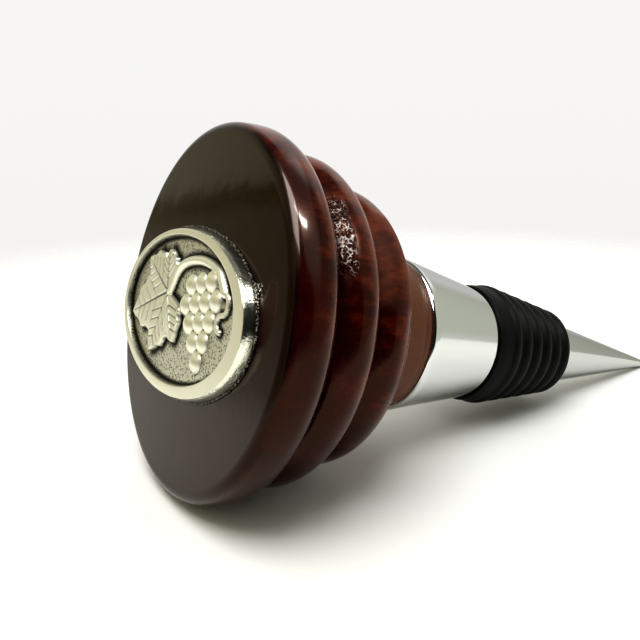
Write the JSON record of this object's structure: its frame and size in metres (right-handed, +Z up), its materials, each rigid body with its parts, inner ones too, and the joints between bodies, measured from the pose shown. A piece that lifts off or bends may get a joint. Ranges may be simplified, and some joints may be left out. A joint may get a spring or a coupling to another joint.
{
  "type": "wine stopper",
  "caption": "Wine bottle stopper with a stepped turned wooden head, an oval cast medallion and a plated cone with a ribbed rubber sleeve.",
  "frame": {"origin": "on the ground, under the middle of the stopper as it lies on disc rim and tip", "axes": "+Z up; the stopper's own axis lies in the XZ plane and runs down towards the tip at +X; the medallion faces -X"},
  "size_m": [0.1128, 0.057, 0.0555],
  "materials": {
    "lacquered_wood": "dark red-brown hardwood under thick gloss lacquer",
    "cast_pewter": "cast pewter, high spots polished, hollows darkened",
    "chrome_plate": "bright plating",
    "black_rubber": "soft matte black rubber",
    "stud_steel": "plain zinc-coated steel"
  },
  "bodies": {
    "root": {"wood_head": "lacquered_wood", "medallion": "cast_pewter", "stopper_body": "chrome_plate", "sealing_sleeve": "black_rubber", "threaded_stud": "stud_steel"}
  },
  "joints": []
}
